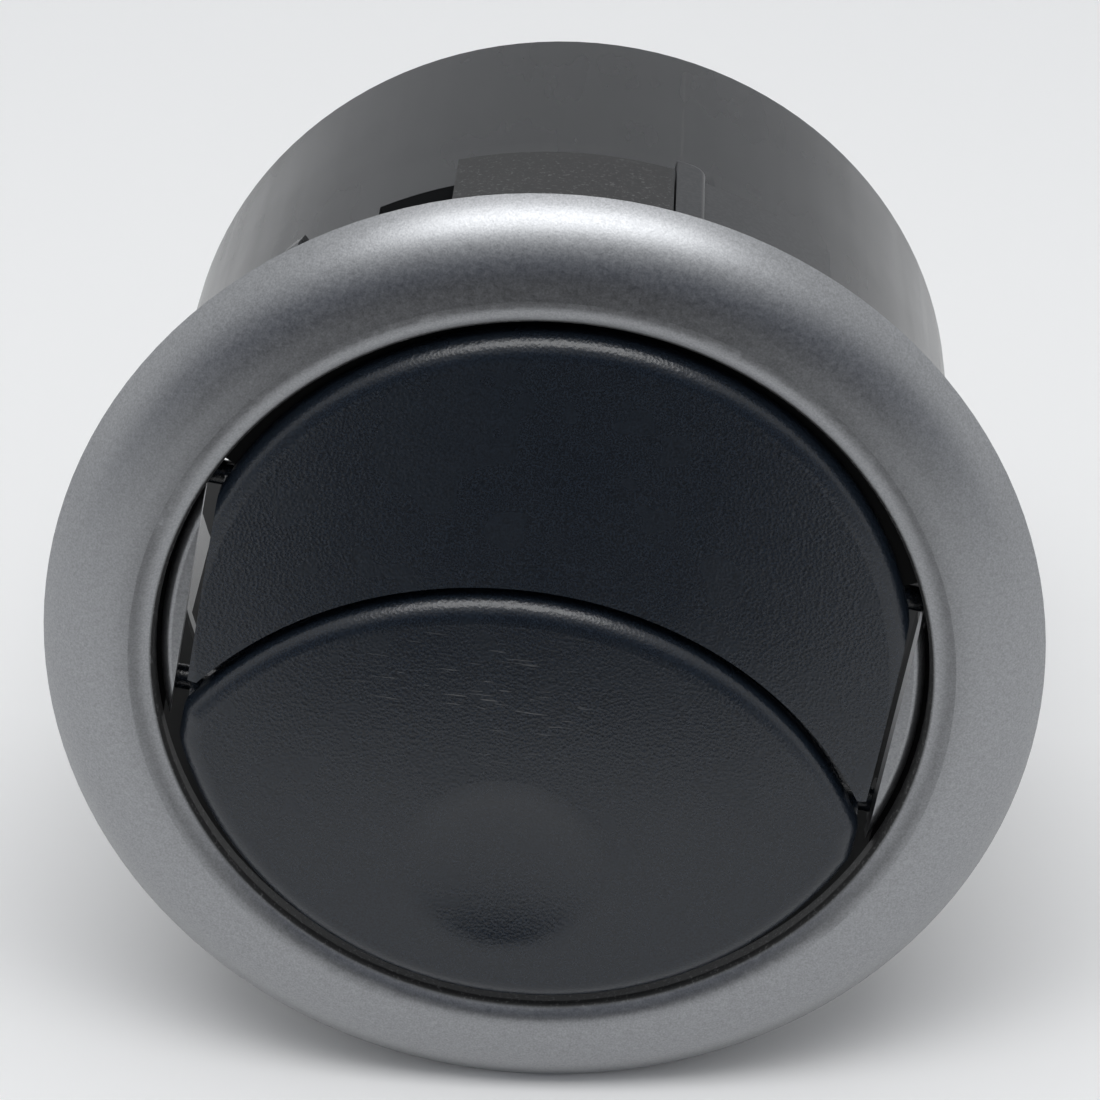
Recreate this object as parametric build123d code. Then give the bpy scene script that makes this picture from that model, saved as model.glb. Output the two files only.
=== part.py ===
from build123d import *
import math
import os

# Round dashboard air vent, millimetres.
# The vent axis is Y, the front faces -Y, +Z is up, and y = 0 is the bezel's seat on the dash.
# Angles around the axis run clockwise from the top, seen from the front.

# Sleeve
sleeve_radius = 41.1
sleeve_draft = 0.2
sleeve_wall = 1.8
sleeve_front_y = -2.25
sleeve_seat_gap = 0.2
sleeve_chamfer = 0.4
collar_front_y = 30.0
sleeve_rear_y = 59.15
shoulder_y = 22.0
shoulder_thickness = 1.6
shoulder_setback = 0.2

# Bezel
opening_overlap = 0.8
crown_width = 2.4
crown_y = -4.6
opening_rim_y = -3.7
rim_round = 0.7
lip_back_y = -1.9
pocket_clearance = 0.3
skirt_wall = 2.3
skirt_length = 4.0
skirt_bore_clearance = 0.2
seat_width = 4.2
groove_inset = 0.8
groove_land = 1.8
groove_depth = 1.3

# Bayonet group, repeated round the sleeve
bayonet_count = 3
tab_angle_from = -22.5
tab_angle_to = 5.6
tab_rear_y = 23.4
tab_clearance = 0.4
tab_thickness = 1.4
tab_chamfer = 0.3
window_angle_from = -34.0
window_end_gap_deg = 0.4
window_front_y = 12.0
window_rear_y = 21.1
hook_inset_deg = 2.0
hook_length = 3.0
hook_clearance = 0.3
hook_reach = 1.8
hook_lead = 1.2
rib_front_gap = 0.4
stop_gap_deg = 0.3
stop_angle_to = 9.9
stop_rear_y = 26.0
stop_corner = 1.6
stop_crest = 0.5
pad_overlap_deg = 0.5
pad_angle_to = 29.4
pad_rear_y = 24.6
pad_height = 1.0
pad_chamfer = 0.35
key_angle_from = -48.2
key_angle_to = -45.8
key_rear_y = 23.2
key_height = 1.0
key_tip_height = 0.4
key_ramp = 3.0

# Drum
drum_running_clearance = 0.25
drum_front_play = 0.3
drum_rear_play = 0.4
drum_wall = 1.0
land_height = 0.35
land_width = 3.0
land_slope = 0.5
web_setback = 0.7
web_front_y = 0.2
web_rear_y = 7.2
lip_half_angle = 64.5
lip_setback = 0.5
lip_width = 3.1
lip_thickness = 1.2
friction_ring_thickness = 1.6

# Cheek trims
trim_rim_gap = 0.4
trim_width = 2.2
trim_front_y = -2.2
trim_round = 1.1
trim_peg_radius = 0.5
trim_peg_length = 2.4
trim_peg_inset = 0.75
trim_peg_z = 4.0

# Flaps
flap_side_gap = 1.3
flap_thickness = 2.8
flap_edge_round = 2.5
flap_corner = 3.0
dome_radius = 440.0
upper_apex_y = -6.0
lower_apex_y = -6.9
upper_rim_gap = 1.1
upper_arc_centre = 0.6
lower_rim_gap = 1.0
lower_arc_centre = -0.45
seam_radius = 38.2
seam_centre_z = -28.9
seam_gap = 0.9
lap_overlap = 2.8
lap_root = 1.5
lap_gap = 0.4
lap_thickness = 1.6
lap_tip_gap = 0.5
upper_tip_z = -6.6
dimple_radius = 9.6
dimple_depth = 1.3
dimple_rise = 15.5
dimple_round = 9.0
dimple_backing = 2.0
dimple_backing_inset = 1.5

# Flap pivots and the link
upper_pivot_z = 12.3
lower_pivot_z = -10.4
pivot_y = 2.6
pivot_pin_radius = 1.2
pivot_pin_end_gap = 0.2
pivot_running_clearance = 0.06
bush_wall = 1.0
bush_length = 1.8
bush_stand = 0.4
lug_width = 2.6
lug_round = 1.9
lug_root_round = 2.4
lug_root_depth = 0.5
lug_side_gap = 0.3
spine_thickness = 1.6
spine_rear_y = 0.6
spine_root_depth = 0.6
crank_y = 3.0
crank_z = -12.0
ear_x = -9.8
ear_thickness = 2.2
ear_round = 2.3
ear_root_y = -2.4
upper_ear_drop = 1.5
lower_ear_rise = 1.0
link_thickness = 1.8
link_width = 4.4
link_side_gap = 0.4
crank_pin_radius = 1.2
link_open_clearance = 0.2

# Depth by which joined features run into their carrier, and by which cuts run past a wall.
weld = 0.4
cut_over = 1.0

# From the sleeve inwards to the drum and the opening
sleeve_bore = sleeve_radius - sleeve_wall
sleeve_front_radius = sleeve_radius + sleeve_draft
land_radius = sleeve_bore - drum_running_clearance
drum_outer = land_radius - land_height
drum_inner_radius = drum_outer - drum_wall
drum_front_y = lip_back_y + drum_front_play
drum_rear_y = shoulder_y - friction_ring_thickness - drum_rear_play
shoulder_radius = drum_inner_radius + shoulder_setback
lip_inner_radius = drum_inner_radius - lip_width
lip_front_y = drum_front_y + lip_setback
opening_radius = drum_inner_radius - opening_overlap

# From the sleeve outwards to the bezel's edge
skirt_bore = sleeve_front_radius + skirt_bore_clearance
skirt_radius = skirt_bore + skirt_wall
bezel_radius = skirt_radius + seat_width
crown_radius = opening_radius + crown_width
pocket_radius = sleeve_bore - pocket_clearance
pocket_y = sleeve_front_y - sleeve_seat_gap
groove_inner_radius = skirt_radius + groove_inset
groove_outer_radius = bezel_radius - groove_land
tab_inner_radius = sleeve_radius + tab_clearance
tab_outer_radius = tab_inner_radius + tab_thickness
tab_root_y = skirt_length / 2
rib_front_y = skirt_length + rib_front_gap
rib_root = sleeve_radius - weld

# Cheeks, flaps and pivots inside the opening
trim_radius = opening_radius - trim_rim_gap
trim_chord = trim_radius - trim_width
web_chord = trim_chord + web_setback
trim_peg_x = web_chord + trim_peg_inset
flap_half_width = trim_chord - flap_side_gap
upper_arc_radius = opening_radius - upper_rim_gap - upper_arc_centre
lower_arc_radius = opening_radius - lower_rim_gap + lower_arc_centre
dimple_z = lower_arc_centre - lower_arc_radius + dimple_rise
bush_radius = pivot_pin_radius + bush_wall
bush_inner_x = web_chord - bush_stand
bush_outer_x = bush_inner_x + bush_length
pivot_pin_end = bush_outer_x - pivot_pin_end_gap
link_front_x = ear_x - link_side_gap
link_back_x = link_front_x - link_thickness


def ring(points):
    # Turned shape from (radius, y) points.
    wire = Polyline(*[(r, y) for r, y in points], close=True)
    return revolve(make_face(wire), Axis.Y)


def tube(r_in, r_out, y_from, y_to):
    return ring([(r_in, y_from), (r_out, y_from), (r_out, y_to), (r_in, y_to)])


def sector(r_in, r_out, y_from, y_to, a_from, a_to):
    # Piece of a tube between two angles.
    face = make_face(
        Polyline((0, y_from, r_in), (0, y_from, r_out), (0, y_to, r_out), (0, y_to, r_in), close=True)
    )
    return Rot(0, a_from, 0) * revolve(face, Axis.Y, a_to - a_from)


def plate(sketch, y_from, y_to):
    # Sketch coordinates are X and Z, seen from the front.
    return extrude(Plane.XZ.offset(-y_to) * sketch, y_to - y_from)


def x_cylinder(radius, x_from, x_to, y, z):
    length = x_to - x_from
    return Pos((x_from + x_to) / 2, y, z) * Rot(0, 90, 0) * Cylinder(radius, length)


def x_plate(points, x_from, x_to):
    # Flat piece across X from (y, z) points.
    face = make_face(Polyline(*[(x_from, y, z) for y, z in points], close=True))
    return extrude(face, x_to - x_from, dir=(1, 0, 0))


def hull_points(a, ra, b, rb, steps=12):
    # Outline of a bar with two round ends, in (y, z).
    angle = math.atan2(b[1] - a[1], b[0] - a[0])
    gap = math.hypot(b[0] - a[0], b[1] - a[1])
    lean = math.acos((ra - rb) / gap)
    points = []
    for i in range(steps + 1):
        t = angle + lean + (2 * math.pi - 2 * lean) * i / steps
        points.append((a[0] + ra * math.cos(t), a[1] + ra * math.sin(t)))
    for i in range(steps + 1):
        t = angle - lean + 2 * lean * i / steps
        points.append((b[0] + rb * math.cos(t), b[1] + rb * math.sin(t)))
    return points


def right_of(x):
    # Field to the right of a chord, wider than the vent.
    return Pos(x, 0) * Rectangle(bezel_radius, 2 * bezel_radius, align=(Align.MIN, Align.CENTER))


def above(z):
    return Pos(0, z) * Rectangle(2 * bezel_radius, 2 * bezel_radius, align=(Align.CENTER, Align.MIN))


# Bezel: a convex silver ring over an open back, with the skirt and the hooked tabs behind it.
edge_run = bezel_radius - crown_radius
edge_fall = -crown_y
front_arc = (edge_run**2 + edge_fall**2) / (2 * edge_fall)
front_centre_y = crown_y + front_arc
roll_run = crown_radius - opening_radius
roll_fall = opening_rim_y - crown_y
roll_arc = (roll_run**2 + roll_fall**2) / (2 * roll_fall)
roll_centre_y = crown_y + roll_arc


def arc_y(centre_y, arc_radius, r):
    return centre_y - math.sqrt(arc_radius**2 - (r - crown_radius) ** 2)


mid_front = crown_radius + 0.55 * edge_run
mid_roll = opening_radius + 0.5 * roll_run
front_line = ThreePointArc(
    (bezel_radius, 0), (mid_front, arc_y(front_centre_y, front_arc, mid_front)), (crown_radius, crown_y)
)
roll_line = ThreePointArc(
    (crown_radius, crown_y),
    (mid_roll, arc_y(roll_centre_y, roll_arc, mid_roll)),
    (opening_radius, opening_rim_y),
)
back_line = Polyline(
    (opening_radius, opening_rim_y),
    (opening_radius, lip_back_y),
    (pocket_radius, lip_back_y),
    (pocket_radius, pocket_y),
    (skirt_bore, pocket_y),
    (skirt_bore, skirt_length),
    (skirt_radius, skirt_length),
    (skirt_radius, 0),
    (groove_inner_radius, 0),
    (groove_inner_radius, -groove_depth),
    (groove_outer_radius, -groove_depth),
    (groove_outer_radius, 0),
    (bezel_radius, 0),
)
bezel = revolve(make_face([front_line, roll_line, *back_line.edges()]), Axis.Y)
rim_edge = [
    e
    for e in bezel.edges()
    if e.geom_type == GeomType.CIRCLE
    and abs(e.radius - opening_radius) < 0.01
    and abs(e.arc_center.Y - opening_rim_y) < 0.01
]
bezel = fillet(rim_edge, rim_round)
for k in range(bayonet_count):
    turn = 360 / bayonet_count * k
    tab = sector(tab_inner_radius, tab_outer_radius, tab_root_y, tab_rear_y, tab_angle_from, tab_angle_to)
    rear_edges = [e for e in tab.edges() if e.position_at(0.5).Y > tab_rear_y - 0.01]
    tab = chamfer(rear_edges, tab_chamfer)
    hook_front = window_front_y + hook_clearance
    hook = sector(
        tab_inner_radius - hook_reach,
        tab_inner_radius + weld,
        hook_front,
        hook_front + hook_length,
        tab_angle_from + hook_inset_deg,
        tab_angle_to - hook_inset_deg,
    )
    lead = [
        e
        for e in hook.edges()
        if e.geom_type == GeomType.CIRCLE
        and abs(e.radius - tab_inner_radius + hook_reach) < 0.01
        and e.position_at(0.5).Y > hook_front + 0.1
    ]
    hook = chamfer(lead, hook_lead)
    bezel += Rot(0, turn, 0) * tab
    bezel += Rot(0, turn, 0) * hook
bezel_ring = bezel

# Sleeve: the duct tube with its windows, stop ribs, bearing pads and key ribs.
# The front half is drafted; the rear collar is a true cylinder for the duct.
sleeve = ring(
    [
        (sleeve_bore, sleeve_front_y),
        (sleeve_front_radius, sleeve_front_y),
        (sleeve_radius, collar_front_y),
        (sleeve_radius, sleeve_rear_y),
        (sleeve_bore, sleeve_rear_y),
    ]
)
rear_edges = [e for e in sleeve.edges() if e.position_at(0.5).Y > sleeve_rear_y - 0.01]
rear_edges = [e for e in rear_edges if e.geom_type == GeomType.CIRCLE]
sleeve = chamfer(rear_edges, sleeve_chamfer)
sleeve += tube(shoulder_radius, sleeve_bore + weld, shoulder_y, shoulder_y + shoulder_thickness)
for k in range(bayonet_count):
    turn = Rot(0, 360 / bayonet_count * k, 0)
    window = sector(
        sleeve_bore - cut_over,
        sleeve_radius + cut_over,
        window_front_y,
        window_rear_y,
        window_angle_from,
        tab_angle_to - window_end_gap_deg,
    )
    sleeve -= turn * window
    stop_from = tab_angle_to + stop_gap_deg
    stop = sector(rib_root, tab_outer_radius, rib_front_y, stop_rear_y, stop_from, stop_angle_to)
    corner = [
        e
        for e in stop.edges()
        if e.geom_type == GeomType.LINE
        and e.length < tab_outer_radius - rib_root + 0.1
        and e.position_at(0.5).Y > stop_rear_y - 0.01
        and math.degrees(math.atan2(e.position_at(0.5).X, e.position_at(0.5).Z)) > stop_angle_to - 0.5
    ]
    stop = fillet(corner, stop_corner)
    crest = [
        e
        for e in stop.edges()
        if abs(math.hypot(e.position_at(0.5).X, e.position_at(0.5).Z) - tab_outer_radius) < 0.02
        and math.degrees(math.atan2(e.position_at(0.5).X, e.position_at(0.5).Z)) > stop_angle_to - 1.0
    ]
    stop = fillet(crest, stop_crest)
    pad_from = stop_angle_to - pad_overlap_deg
    pad = sector(rib_root, sleeve_radius + pad_height, rib_front_y, pad_rear_y, pad_from, pad_angle_to)
    pad_end = [
        e
        for e in pad.edges()
        if e.geom_type == GeomType.CIRCLE
        and abs(e.radius - sleeve_radius - pad_height) < 0.01
        and e.position_at(0.5).Y > pad_rear_y - 0.01
    ]
    pad = chamfer(pad_end, pad_chamfer)
    key_face = make_face(
        Polyline(
            (0, rib_front_y, rib_root),
            (0, rib_front_y, sleeve_radius + key_height),
            (0, key_rear_y - key_ramp, sleeve_radius + key_height),
            (0, key_rear_y, sleeve_radius + key_tip_height),
            (0, key_rear_y, rib_root),
            close=True,
        )
    )
    key = Rot(0, key_angle_from, 0) * revolve(key_face, Axis.Y, key_angle_to - key_angle_from)
    sleeve += turn * stop
    sleeve += turn * pad
    sleeve += turn * key
housing_sleeve = sleeve

# Felt ring between the drum's rear edge and the sleeve's shoulder.
friction_ring = tube(shoulder_radius, land_radius, shoulder_y - friction_ring_thickness, shoulder_y)

# Drum: a thin ring on two running lands, with a solid web behind each cheek and the closing lip on top.
drum = ring(
    [
        (drum_inner_radius, drum_front_y),
        (land_radius, drum_front_y),
        (land_radius, drum_front_y + land_width),
        (drum_outer, drum_front_y + land_width + land_slope),
        (drum_outer, drum_rear_y - land_width - land_slope),
        (land_radius, drum_rear_y - land_width),
        (land_radius, drum_rear_y),
        (drum_inner_radius, drum_rear_y),
    ]
)
web_sketch = Circle(drum_inner_radius + weld) & right_of(web_chord)
web = plate(web_sketch, web_front_y, web_rear_y)
drum += web
drum += Rot(0, 180, 0) * web
drum += sector(
    lip_inner_radius,
    drum_inner_radius + weld,
    lip_front_y,
    lip_front_y + lip_thickness,
    -lip_half_angle,
    lip_half_angle,
)
for side in (-1, 1):
    for z in (upper_pivot_z, lower_pivot_z):
        x_ends = sorted((side * flap_half_width, side * sleeve_bore))
        drum -= x_cylinder(bush_radius, x_ends[0], x_ends[1], pivot_y, z)
    for z in (-trim_peg_z, trim_peg_z):
        peg_hole = Pos(side * trim_peg_x, web_front_y + trim_peg_length / 2, z) * Rot(90, 0, 0)
        drum -= peg_hole * Cylinder(trim_peg_radius, trim_peg_length)

# Cheek trims: silver segments with a rolled outer edge, pegged to the webs.
trim_sketch = Circle(trim_radius) & right_of(trim_chord)
trim_plate = plate(trim_sketch, trim_front_y, web_front_y)
outer_front = [
    e
    for e in trim_plate.edges()
    if e.geom_type == GeomType.CIRCLE and abs(e.position_at(0.5).Y - trim_front_y) < 0.01
]
trim_plate = fillet(outer_front, trim_round)
for z in (-trim_peg_z, trim_peg_z):
    peg = Pos(trim_peg_x, web_front_y + trim_peg_length / 2 - weld, z) * Rot(90, 0, 0)
    trim_plate += peg * Cylinder(trim_peg_radius, trim_peg_length)
cheek_trim_right = trim_plate
cheek_trim_left = mirror(trim_plate, Plane.YZ)


def bush(side, z):
    x_from = min(side * bush_inner_x, side * bush_outer_x)
    x_to = max(side * bush_inner_x, side * bush_outer_x)
    body = x_cylinder(bush_radius, x_from, x_to, pivot_y, z)
    bore_radius = pivot_pin_radius + pivot_running_clearance
    return body - x_cylinder(bore_radius, x_from - cut_over, x_to + cut_over, pivot_y, z)


def dome(apex_y, depth):
    # Ball whose front pole is at apex_y + depth, shared centre for front and back faces.
    return Pos(0, apex_y + dome_radius, 0) * Sphere(dome_radius - depth)


def dome_y(apex_y, r):
    return apex_y + dome_radius - math.sqrt(dome_radius**2 - r**2)


def on_dome(edge, apex_y, depth):
    centre = Vector(0, apex_y + dome_radius, 0)
    spots = [edge.position_at(t) for t in (0.1, 0.5, 0.9)]
    return all(abs((s - centre).length - (dome_radius - depth)) < 0.02 for s in spots)


def skin(sketch, apex_y, thickness):
    blank = plate(sketch, apex_y - thickness, dome_y(apex_y, bezel_radius) + thickness)
    blank &= dome(apex_y, 0)
    return blank - dome(apex_y, thickness)


def pivot_gear(z, skin_back_y):
    # Side lugs with pivot pins, joined by a spine behind the skin.
    parts = []
    side_back_y = skin_back_y + dome_y(0, flap_half_width)
    root = (side_back_y - lug_root_depth + lug_root_round, z)
    for side in (-1, 1):
        x_out = side * (flap_half_width - lug_side_gap)
        x_in = side * (flap_half_width - lug_width)
        lug = x_plate(
            hull_points((pivot_y, z), lug_round, root, lug_root_round), min(x_in, x_out), max(x_in, x_out)
        )
        parts.append(lug)
        tip = side * pivot_pin_end
        parts.append(x_cylinder(pivot_pin_radius, min(x_in, tip), max(x_in, tip), pivot_y, z))
    spine_front_y = skin_back_y - spine_root_depth
    spine_length = 2 * (flap_half_width - lug_width + weld)
    spine = Box(spine_length, spine_rear_y - spine_front_y, spine_thickness)
    spine = Pos(0, (spine_front_y + spine_rear_y) / 2, z) * spine
    parts.append(spine)
    return parts


def crank_ear(z, root_y, root_z):
    # Ear that carries the link pin behind a flap.
    pin = (pivot_y + crank_y, z + crank_z)
    ear = x_plate(hull_points(pin, ear_round, (root_y, root_z), ear_round), ear_x, ear_x + ear_thickness)
    pin_end = link_back_x - link_side_gap
    return [ear, x_cylinder(crank_pin_radius, pin_end, ear_x + ear_thickness / 2, pin[0], pin[1])]


def join(body, pieces):
    for piece in pieces:
        body = body + piece
    return body


# Lower flap: arched top edge over the upper flap, thumb dimple below its pivot.
wide_band = Rectangle(2 * flap_half_width, 4 * bezel_radius)
seam_disc = Pos(0, seam_centre_z) * Circle(seam_radius)
lower_sketch = Pos(0, lower_arc_centre) * Circle(lower_arc_radius) & seam_disc & wide_band
lower_sketch = fillet(lower_sketch.vertices(), flap_corner)
lower_skin = skin(lower_sketch, lower_apex_y, flap_thickness)
lower_skin = fillet([e for e in lower_skin.edges() if on_dome(e, lower_apex_y, 0)], flap_edge_round)
dimple_y = dome_y(lower_apex_y, abs(dimple_z))
dimple_ball = (dimple_radius**2 + dimple_depth**2) / (2 * dimple_depth)
backing = Cylinder(dimple_radius - dimple_backing_inset, dimple_backing)
lower_skin += Pos(0, dimple_y + flap_thickness, dimple_z) * Rot(90, 0, 0) * backing
dish_reach = (dome_radius + dimple_ball - dimple_depth) / dome_radius
dish_y = lower_apex_y + dome_radius + (dimple_y - lower_apex_y - dome_radius) * dish_reach
dish = Pos(0, dish_y, dimple_z * dish_reach) * Sphere(dimple_ball)
lower_skin -= dish
dish_edge = [
    e
    for e in lower_skin.edges()
    if on_dome(e, lower_apex_y, 0)
    and math.hypot(e.position_at(0.5).X, e.position_at(0.5).Z - dimple_z) < 1.2 * dimple_radius
]
lower_skin = fillet(dish_edge, dimple_round)
lower_back = lower_apex_y + flap_thickness
lower_flap = join(lower_skin, pivot_gear(lower_pivot_z, lower_back))
lower_flap = join(lower_flap, crank_ear(lower_pivot_z, ear_root_y, lower_pivot_z + crank_z + lower_ear_rise))

# Upper flap: its lower edge steps back into a lap under the lower flap.
rim_disc = Pos(0, upper_arc_centre) * Circle(upper_arc_radius)
outer_line = rim_disc & wide_band
upper_disc = outer_line - Pos(0, seam_centre_z) * Circle(seam_radius + seam_gap)
upper_disc = upper_disc & above(upper_tip_z)
corners = [v for v in upper_disc.vertices() if v.Y > 0]
upper_sketch = fillet(corners, flap_corner)
upper_skin = skin(rim_disc, upper_apex_y, flap_thickness)
upper_skin = fillet([e for e in upper_skin.edges() if on_dome(e, upper_apex_y, 0)], flap_edge_round)
upper_skin &= plate(upper_sketch, upper_apex_y - flap_thickness, web_rear_y)
lap_sketch = (Pos(0, seam_centre_z) * Circle(seam_radius + seam_gap + lap_root)) & wide_band
lap_sketch = lap_sketch - Pos(0, seam_centre_z) * Circle(seam_radius - lap_overlap)
lap_sketch = lap_sketch & above(upper_tip_z + lap_tip_gap) & outer_line
lap_apex = lower_apex_y + flap_thickness + lap_gap
lap = skin(lap_sketch, lap_apex, lap_thickness)
upper_back = upper_apex_y + flap_thickness
upper_flap = upper_skin + lap
upper_flap = join(upper_flap, pivot_gear(upper_pivot_z, upper_back))
upper_flap = join(upper_flap, crank_ear(upper_pivot_z, ear_root_y, upper_pivot_z - upper_ear_drop))

# Link bar between the two crank pins; the lower eye has the clearance.
upper_eye = (pivot_y + crank_y, upper_pivot_z + crank_z)
lower_eye = (pivot_y + crank_y, lower_pivot_z + crank_z)
eye_round = link_width / 2
link_bar = x_plate(hull_points(upper_eye, eye_round, lower_eye, eye_round), link_back_x, link_front_x)
for eye, clearance in ((upper_eye, pivot_running_clearance), (lower_eye, link_open_clearance)):
    bore_radius = crank_pin_radius + clearance
    link_bar -= x_cylinder(bore_radius, link_back_x - cut_over, link_front_x + cut_over, eye[0], eye[1])

os.makedirs("parts", exist_ok=True)
nodes = {
    "bezel_ring": bezel_ring,
    "housing_sleeve": housing_sleeve,
    "friction_ring": friction_ring,
    "drum": drum,
    "cheek_trim_left": cheek_trim_left,
    "cheek_trim_right": cheek_trim_right,
    "pivot_bush_upper_left": bush(-1, upper_pivot_z),
    "pivot_bush_upper_right": bush(1, upper_pivot_z),
    "pivot_bush_lower_left": bush(-1, lower_pivot_z),
    "pivot_bush_lower_right": bush(1, lower_pivot_z),
    "upper_flap": upper_flap,
    "lower_flap": lower_flap,
    "link_bar": link_bar,
}
for name, shape in nodes.items():
    solids = shape.solids()
    print(name, "solids", len(solids), "volume", round(sum(s.volume for s in solids), 1))
    export_step(shape, f"parts/{name}.step")
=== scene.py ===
import bpy
import bmesh
import math
from mathutils import Matrix, Vector

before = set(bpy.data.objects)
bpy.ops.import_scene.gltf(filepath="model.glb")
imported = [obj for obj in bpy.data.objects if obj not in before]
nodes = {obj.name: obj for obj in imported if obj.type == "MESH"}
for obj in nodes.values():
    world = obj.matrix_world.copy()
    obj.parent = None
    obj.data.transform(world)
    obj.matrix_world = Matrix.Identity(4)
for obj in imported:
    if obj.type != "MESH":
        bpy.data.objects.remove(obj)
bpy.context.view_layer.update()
print("loaded", len(nodes), "CAD nodes")

mm = 0.001
scene = bpy.context.scene
usual = (0.3, 0.7)  # where most of a noise's values lie

# In the photo the drum is turned clockwise, so camera and stage turn the other way round the vent's axis.
photoTurn = math.radians(10.35)


def fromPhoto(x, y, z):
    c = math.cos(photoTurn)
    s = math.sin(photoTurn)
    return Vector((x * c - z * s, y, x * s + z * c))


def grey(v, tint=(1, 1, 1)):
    return (v * tint[0], v * tint[1], v * tint[2], 1)


def mapRange(tree, value, taken, given, smooth):
    node = tree.nodes.new("ShaderNodeMapRange")
    node.interpolation_type = "SMOOTHSTEP" if smooth else "LINEAR"
    for key, number in zip(("From Min", "From Max", "To Min", "To Max"), (*taken, *given)):
        node.inputs[key].default_value = number
    tree.links.new(value, node.inputs["Value"])
    return node.outputs["Result"]


def mixColours(tree, factor, a, b):
    node = tree.nodes.new("ShaderNodeMix")
    node.data_type = "RGBA"
    tree.links.new(factor, node.inputs[0])
    for socket, value in ((node.inputs[6], a), (node.inputs[7], b)):  # the two colour sockets
        if isinstance(value, tuple):
            socket.default_value = value
        else:
            tree.links.new(value, socket)
    return node.outputs[2]  # the mixed colour


class Shader:
    def __init__(self, name):
        self.mat = bpy.data.materials.new(name)
        self.mat.use_nodes = True
        self.tree = self.mat.node_tree
        self.bsdf = self.tree.nodes["Principled BSDF"]
        self.object = self.add("ShaderNodeTexCoord").outputs["Object"]

    def add(self, kind, **sockets):
        node = self.tree.nodes.new(kind)
        for key, value in sockets.items():
            node.inputs[key].default_value = value
        return node

    def link(self, a, b):
        self.tree.links.new(a, b)

    def noise(self, scale, detail=2.0, rough=0.5, vector=None):
        node = self.add("ShaderNodeTexNoise", Scale=scale, Detail=detail, Roughness=rough)
        self.link(vector or self.object, node.inputs["Vector"])
        return node.outputs["Fac"]

    def cells(self, scale):
        node = self.add("ShaderNodeTexVoronoi", Scale=scale)
        self.link(self.object, node.inputs["Vector"])
        return node.outputs["Distance"]

    def span(self, value, taken, given=(0.0, 1.0), smooth=False):
        return mapRange(self.tree, value, taken, given, smooth)

    def window(self, value, low, high, edge):
        rise = self.span(value, (low - edge, low + edge), smooth=True)
        fall = self.span(value, (high - edge, high + edge), (1.0, 0.0), smooth=True)
        return self.times(rise, fall)

    def math(self, operation, a, b=0.0):
        node = self.tree.nodes.new("ShaderNodeMath")
        node.operation = operation
        for i, value in enumerate((a, b)):
            if isinstance(value, (int, float)):
                node.inputs[i].default_value = value
            else:
                self.link(value, node.inputs[i])
        return node.outputs["Value"]

    def times(self, product, *others):
        for other in others:
            product = self.math("MULTIPLY", product, other)
        return product

    def part(self, axis):
        node = self.tree.nodes.new("ShaderNodeSeparateXYZ")
        self.link(self.object, node.inputs["Vector"])
        return node.outputs[axis]

    def radius(self):
        x = self.part("X")
        z = self.part("Z")
        return self.math("SQRT", self.math("ADD", self.times(x, x), self.times(z, z)))

    def stretched(self, scale, turn=(0, 0, 0), vector=None):
        node = self.add("ShaderNodeMapping", Scale=scale, Rotation=turn)
        self.link(vector or self.object, node.inputs["Vector"])
        return node.outputs["Vector"]

    def mix(self, factor, a, b):
        return mixColours(self.tree, factor, a, b)

    def bump(self, height, strength, distance, normal=None):
        node = self.add("ShaderNodeBump", Strength=strength, Distance=distance)
        self.link(height, node.inputs["Height"])
        if normal:
            self.link(normal, node.inputs["Normal"])
        return node.outputs["Normal"]

    def feed(self, name, value):
        if isinstance(value, (int, float, tuple)):
            self.bsdf.inputs[name].default_value = value
        else:
            self.link(value, self.bsdf.inputs[name])


# Silver paint with fine metallic flake, on the bezel and the cheek trims.
silver = {
    "dark": 0.24,
    "light": 0.372,
    "tint": (0.98, 1.0, 1.035),
    "rough": (0.32, 0.39),
    "metal": 0.94,
    "flake": 5200.0,
    "flakeRange": (0.25, 0.75),
    "flakeShare": 0.7,  # the finer noise has the rest
    "fine": 2080.0,
    "relief": 0.3,
    "depth": 0.02 * mm,
}

# The bezel is bare black behind its front, under a mist of paint that thins out; inside its opening it is
# coloured the same black.
bezelBlack = {
    "behind": (0.2 * mm, 0.6 * mm),
    "wall": (37.15 * mm, 37.4 * mm),
    "dark": 0.024,
    "rough": 0.5,
    "mist": 2600.0,
    "mistRange": (0.56, 0.72),
    "mistTone": 0.11,
    "thinning": (12.0 * mm, 30.0 * mm),
    "thinnest": 0.35,
}


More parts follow.
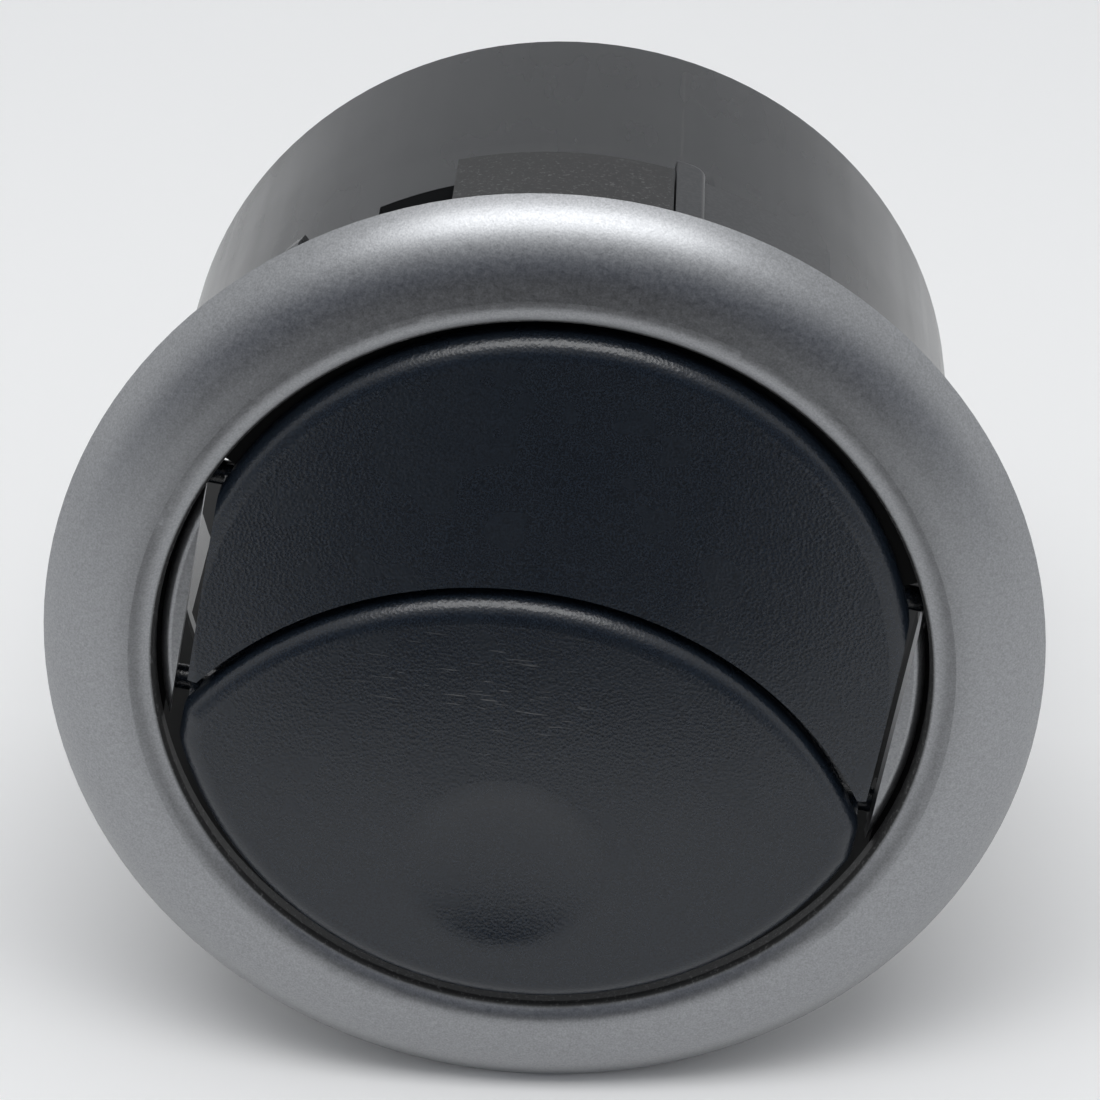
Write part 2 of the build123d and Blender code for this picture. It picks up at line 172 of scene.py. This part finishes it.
def silverPaint(name, blackBehind):
    s = Shader(name)
    flake = s.noise(silver["flake"], detail=1.0, rough=0.6)
    fine = s.noise(silver["fine"], rough=0.6)
    share = silver["flakeShare"]
    coarse = s.span(flake, silver["flakeRange"], (0.0, share))
    shade = s.math("ADD", coarse, s.span(fine, usual, (0.0, 1.0 - share)))
    tone = s.mix(shade, grey(silver["dark"], silver["tint"]), grey(silver["light"], silver["tint"]))
    metal = silver["metal"]
    rough = s.span(fine, usual, silver["rough"])
    if blackBehind:
        depth = s.part("Y")
        # Inward of this radius, inside the opening, the bezel is coloured black as well.
        wall = s.span(s.radius(), bezelBlack["wall"], (1.0, 0.0))
        back = s.math("MAXIMUM", s.span(depth, bezelBlack["behind"]), wall)
        mist = s.span(s.noise(bezelBlack["mist"], rough=0.7), bezelBlack["mistRange"])
        fade = s.span(depth, bezelBlack["thinning"], (1.0, bezelBlack["thinnest"]))
        plastic = s.mix(s.times(mist, fade), grey(bezelBlack["dark"]), grey(bezelBlack["mistTone"]))
        tone = s.mix(back, tone, plastic)
        metal = s.span(back, (0.0, 1.0), (metal, 0.0))
        rough = s.mix(back, rough, grey(bezelBlack["rough"]))
    s.feed("Base Color", tone)
    s.feed("Metallic", metal)
    s.feed("Roughness", rough)
    s.feed("Normal", s.bump(flake, silver["relief"], silver["depth"]))
    return s.mat


# Leather grain of both flaps: cells with finer pits over them.
grain = {
    "dark": 0.006,
    "light": 0.017,
    "tint": (0.66, 0.98, 1.5),
    "cell": 3000.0,
    "cellRelief": 0.6,
    "cellDepth": 0.03 * mm,
    "pit": 5600.0,
    "pitRange": (0.35, 0.65),
    "pitRelief": 0.5,
    "pitDepth": 0.018 * mm,
    "cloud": 120.0,
    "rough": (0.24, 0.29),
    "shine": 0.5,
}

# Fine hand scratches on the lower flap, above its dimple.
scratch = {
    "left": -15.5 * mm,
    "right": 3.5 * mm,
    "low": -7.0 * mm,
    "high": 3.3 * mm,
    "edge": 4.0 * mm,
    "turn": 4.0,
    "stretch": (330, 330, 5200),
    "lineRange": (0.745, 0.785),
    "tone": 0.10,
    "strength": 0.7,
}


def blackGrain(name, scratched):
    s = Shader(name)
    cell = s.cells(grain["cell"])
    pit = s.noise(grain["pit"], rough=0.6)
    cloud = s.noise(grain["cloud"])
    dark = grey(grain["dark"], grain["tint"])
    light = grey(grain["light"], grain["tint"])
    tone = s.mix(s.span(pit, grain["pitRange"]), dark, light)
    if scratched:
        turned = s.stretched((1, 1, 1), turn=(0, math.radians(scratch["turn"]), 0))
        drawn = s.stretched(scratch["stretch"], vector=turned)
        line = s.span(s.noise(1.0, detail=0.0, vector=drawn), scratch["lineRange"])
        across = s.window(s.part("X"), scratch["left"], scratch["right"], scratch["edge"])
        along = s.window(s.part("Z"), scratch["low"], scratch["high"], scratch["edge"])
        tone = s.mix(s.times(line, across, along, scratch["strength"]), tone, grey(scratch["tone"]))
    s.feed("Base Color", tone)
    s.feed("Roughness", s.span(cloud, usual, grain["rough"]))
    s.feed("Specular IOR Level", grain["shine"])
    hide = s.bump(cell, grain["cellRelief"], grain["cellDepth"])
    s.feed("Normal", s.bump(pit, grain["pitRelief"], grain["pitDepth"], hide))
    return s.mat


# Satin black mouldings, each with a tone and roughness of its own.
satin = {
    "cloud": 60.0,
    "toneChange": 0.15,
    "roughChange": (-0.04, 0.05),
    "fine": 1500.0,
    "relief": 0.15,
    "depth": 0.02 * mm,
}


def satinBlack(name, base, rough, shine=0.5):
    s = Shader(name)
    cloud = s.noise(satin["cloud"], detail=3.0, rough=0.55)
    fine = s.noise(satin["fine"])
    dark = grey(base * (1 - satin["toneChange"]))
    light = grey(base * (1 + satin["toneChange"]))
    s.feed("Base Color", s.mix(s.span(cloud, usual), dark, light))
    s.feed("Roughness", s.span(cloud, usual, [rough + change for change in satin["roughChange"]]))
    s.feed("Specular IOR Level", shine)
    s.feed("Normal", s.bump(fine, satin["relief"], satin["depth"]))
    return s.mat


# Sleeve: dull bore with a smooth upper left, satin outside, finely speckled pads, a moulding line on top
# painted lighter as a painted highlight.
sleeve = {
    "tint": (0.96, 1.0, 1.06),
    "dark": 0.018,
    "light": 0.0225,
    "cloud": 45.0,
    "stretch": (420, 18, 420),
    "streakShare": 0.5,
    "streakRange": (0.5, 1.0),
    "rough": (0.22, 0.30),
    "boreEnd": (39.6 * mm, 39.9 * mm),
    "boreDull": 0.8,
    "boreSmooth": 0.04,
    "smoothLow": -17.7 * mm,
    "smoothRear": 45.5 * mm,
    "padStart": (41.7 * mm, 41.9 * mm),
    "padDark": 0.02,
    "padLight": 0.036,
    "padRough": 0.28,
    "padRelief": 0.2,
    "padDepth": 0.03 * mm,
    "speck": 2600.0,
    "speckRange": (0.45, 0.6),
    "lineTurn": 7.2,
    "lineHalf": 0.08 * mm,
    "lineFrom": 26.5 * mm,
    "lineFade": 1.0 * mm,
    "lineHighlightTone": 0.034,
}


def sleeveBlack(name):
    s = Shader(name)
    x = s.part("X")
    y = s.part("Y")
    z = s.part("Z")
    radius = s.radius()
    outside = s.span(radius, sleeve["boreEnd"])
    raised = s.span(radius, sleeve["padStart"])
    cloud = s.noise(sleeve["cloud"], detail=3.0, rough=0.55)
    drawn = s.noise(1.0, vector=s.stretched(sleeve["stretch"]))
    speck = s.noise(sleeve["speck"], rough=0.6)

    streak = s.math("ADD", cloud, s.times(drawn, sleeve["streakShare"]))
    gloss = s.span(streak, sleeve["streakRange"], sleeve["rough"])
    gloss = s.mix(raised, gloss, grey(sleeve["padRough"]))
    above = s.math("GREATER_THAN", z, sleeve["smoothLow"])
    ahead = s.math("LESS_THAN", y, sleeve["smoothRear"])
    smooth = s.times(above, ahead, s.math("LESS_THAN", x, 0.0))
    inside = s.mix(smooth, grey(sleeve["boreDull"]), grey(sleeve["boreSmooth"]))
    gloss = s.mix(outside, inside, gloss)

    tint = sleeve["tint"]
    tone = s.mix(s.span(cloud, usual), grey(sleeve["dark"], tint), grey(sleeve["light"], tint))
    speckled = s.span(speck, sleeve["speckRange"])
    pads = s.mix(speckled, grey(sleeve["padDark"], tint), grey(sleeve["padLight"], tint))
    tone = s.mix(raised, tone, pads)

    # The moulding line is real, but its lighter colour is a painted highlight along it.
    turn = math.radians(sleeve["lineTurn"])
    half = sleeve["lineHalf"]
    fade = sleeve["lineFade"]
    start = sleeve["lineFrom"]
    aside = s.math("SUBTRACT", s.times(x, math.cos(turn)), s.times(z, math.sin(turn)))
    line = s.span(s.math("ABSOLUTE", aside), (half, 2 * half), (1.0, 0.0))
    line = s.times(line, s.span(z, (0.0, fade)), s.span(y, (start, start + fade)))

    s.feed("Base Color", s.mix(line, tone, grey(sleeve["lineHighlightTone"])))
    s.feed("Roughness", gloss)
    s.feed("Normal", s.bump(s.times(speck, raised), sleeve["padRelief"], sleeve["padDepth"]))
    return s.mat


# Pressed felt of the friction ring.
feltLook = {"fibre": 2500.0, "dark": 0.05, "light": 0.13, "rough": 0.95, "relief": 0.6, "depth": 0.1 * mm}


def felt(name):
    s = Shader(name)
    fibre = s.noise(feltLook["fibre"], detail=4.0, rough=0.7)
    s.feed("Base Color", s.mix(fibre, grey(feltLook["dark"]), grey(feltLook["light"])))
    s.feed("Roughness", feltLook["rough"])
    s.feed("Normal", s.bump(fibre, feltLook["relief"], feltLook["depth"]))
    return s.mat


bezelMat = silverPaint("bezelPaint", blackBehind=True)
trimMat = silverPaint("trimPaint", blackBehind=False)
bushMat = satinBlack("bushPlastic", base=0.05, rough=0.5)
finishes = {
    "bezel_ring": bezelMat,
    "housing_sleeve": sleeveBlack("sleeveSatin"),
    "friction_ring": felt("feltRing"),
    # The drum is black plastic. Its near-black tone, darker than the other mouldings, is partly painted
    # shade in the gaps round the flaps.
    "drum": satinBlack("drumSatin", base=0.006, rough=0.7, shine=0.15),
    "cheek_trim_left": trimMat,
    "cheek_trim_right": trimMat,
    "upper_flap": blackGrain("upperGrain", scratched=False),
    "lower_flap": blackGrain("lowerGrain", scratched=True),
    "link_bar": satinBlack("linkPlastic", base=0.03, rough=0.45),
}
for name, obj in nodes.items():
    obj.data.materials.clear()
    obj.data.materials.append(finishes.get(name, bushMat))  # the rest are the pivot bushes
print("materials ready")

# Stage: a pale sheet, level under the vent as it lies in the photo, rising behind it and gently in front.
sheet = {
    "tilt": 6.65,
    "low": -0.048,
    "half": 2.2,
    "front": -0.9,
    "back": 0.9,
    "bend": 0.5,
    "bendSteps": 12,
    "rise": 1.6,
    "rampEnd": -3.0,
    "rampRise": 0.7,
    "rampFoot": 0.05,  # smooth shading of the front rise stops within this
    "tone": 0.895,
    "rough": 0.9,
    "shine": 0.5,
}


def sheetPoint(x, along, up):
    tilt = math.radians(sheet["tilt"])
    y = along * math.cos(tilt) - up * math.sin(tilt)
    z = sheet["low"] + along * math.sin(tilt) + up * math.cos(tilt)
    return fromPhoto(x, y, z)


# A strip across the stage. Each row says how far along and how high it lies, and its left and right ends.
def stageStrip(name, rows, smooth):
    bm = bmesh.new()
    edges = []
    for along, up, left, right in rows:
        edges.append([bm.verts.new(sheetPoint(x, along, up)) for x in (left, right)])
    for a, b in zip(edges, edges[1:]):
        bm.faces.new((a[0], a[1], b[1], b[0]))
    bmesh.ops.recalc_face_normals(bm, faces=bm.faces)
    for face in bm.faces:
        face.smooth = smooth
    mesh = bpy.data.meshes.new(name)
    bm.to_mesh(mesh)
    bm.free()
    obj = bpy.data.objects.new(name, mesh)
    scene.collection.objects.link(obj)
    return obj


def plainMat(name, look):
    s = Shader(name)
    s.feed("Base Color", grey(look["tone"]))
    s.feed("Roughness", look["rough"])
    s.feed("Specular IOR Level", look["shine"])
    return s.mat


def buildSheet():
    front = sheet["front"]
    back = sheet["back"]
    bend = sheet["bend"]
    heights = [(sheet["rampEnd"], sheet["rampRise"]), (front, 0.0), (front + sheet["rampFoot"], 0.0)]
    heights.append((back, 0.0))
    for i in range(1, sheet["bendSteps"] + 1):
        a = math.pi / 2 * i / sheet["bendSteps"]
        heights.append((back + bend * math.sin(a), bend * (1 - math.cos(a))))
    heights.append((back + bend, sheet["rise"]))
    rows = [(along, up, -sheet["half"], sheet["half"]) for along, up in heights]
    obj = stageStrip("sheet", rows, smooth=True)
    obj.data.materials.append(plainMat("sheetPaper", sheet))


buildSheet()


def aimed(place, ahead):
    ahead = ahead.normalized()
    right = ahead.cross(fromPhoto(0, 0, 1)).normalized()
    turn = Matrix((right, right.cross(ahead), -ahead)).transposed().to_4x4()
    return Matrix.Translation(place) @ turn


# One soft light above, a little in front.
topBox = {"place": (0.0, -0.32, 0.68), "target": (0, 0, 0), "size": (0.66, 0.28), "power": 2.7}


def buildTopBox():
    data = bpy.data.lights.new("topBox", "AREA")
    data.shape = "RECTANGLE"
    data.size, data.size_y = topBox["size"]
    data.energy = topBox["power"]
    obj = bpy.data.objects.new("topBox", data)
    place = fromPhoto(*topBox["place"])
    obj.matrix_world = aimed(place, fromPhoto(*topBox["target"]) - place)
    scene.collection.objects.link(obj)


buildTopBox()

# A dark flag lies on the sheet in front and runs up its front rise. Only mirror reflections see it.
flag = {
    "near": -0.10,
    "far": -0.7,
    "left": -0.058,
    "right": 0.042,
    "spread": 0.13,
    "wide": 0.68,
    "lift": 0.002,
    "tone": 0.04,
    "rough": 1.0,
    "shine": 0.0,
}


def buildFlag():
    lift = flag["lift"]
    rows = (
        (flag["near"], lift, flag["left"], flag["right"]),
        (flag["far"], lift, flag["left"] - flag["spread"], flag["right"] + flag["spread"]),
        (sheet["front"], lift, -flag["wide"], flag["wide"]),
        (sheet["rampEnd"], sheet["rampRise"] + lift, -sheet["half"], sheet["half"]),
    )
    obj = stageStrip("flag", rows, smooth=False)
    obj.data.materials.append(plainMat("flagCloth", flag))
    obj.visible_camera = False
    obj.visible_diffuse = False
    obj.visible_shadow = False


buildFlag()

# World: bright round the sides and back, dim and bluish towards the front.
sky = {
    "side": (0.87, 0.88, 0.89, 1),
    "front": (0.04, 0.056, 0.095, 1),
    "frontRange": (0.15, 0.8),
    "top": (0.76, 0.77, 0.78, 1),
    "topRange": (0.25, 0.8),
}


def buildWorld():
    world = bpy.data.worlds.new("studio")
    scene.world = world
    world.use_nodes = True
    tree = world.node_tree
    coord = tree.nodes.new("ShaderNodeTexCoord")

    def towards(direction, taken):
        dot = tree.nodes.new("ShaderNodeVectorMath")
        dot.operation = "DOT_PRODUCT"
        tree.links.new(coord.outputs["Generated"], dot.inputs[0])
        dot.inputs[1].default_value = direction
        return mapRange(tree, dot.outputs["Value"], taken, (0.0, 1.0), smooth=True)

    colour = mixColours(tree, towards((0, -1, 0), sky["frontRange"]), sky["side"], sky["front"])
    colour = mixColours(tree, towards(fromPhoto(0, 0, 1), sky["topRange"]), colour, sky["top"])
    tree.links.new(colour, tree.nodes["Background"].inputs["Color"])


buildWorld()
print("stage ready")

# Camera solved from the bezel, opening and sleeve circles of the photo. Its place is in mm.
view = {
    "place": (14.7, -335.4, 184.8),
    "ahead": (-0.0370, 0.8881, -0.4582),
    "lens": 130.8,
    "sensor": 36.0,
    "nearest": 0.01,
    "farthest": 20.0,
}
camData = bpy.data.cameras.new("photoCamera")
camData.sensor_width = view["sensor"]
camData.lens = view["lens"]
camData.clip_start = view["nearest"]
camData.clip_end = view["farthest"]
cam = bpy.data.objects.new("photoCamera", camData)
cam.matrix_world = aimed(fromPhoto(*view["place"]) * mm, fromPhoto(*view["ahead"]))
scene.collection.objects.link(cam)
scene.camera = cam
scene.view_settings.view_transform = "Standard"

print("camera ready")
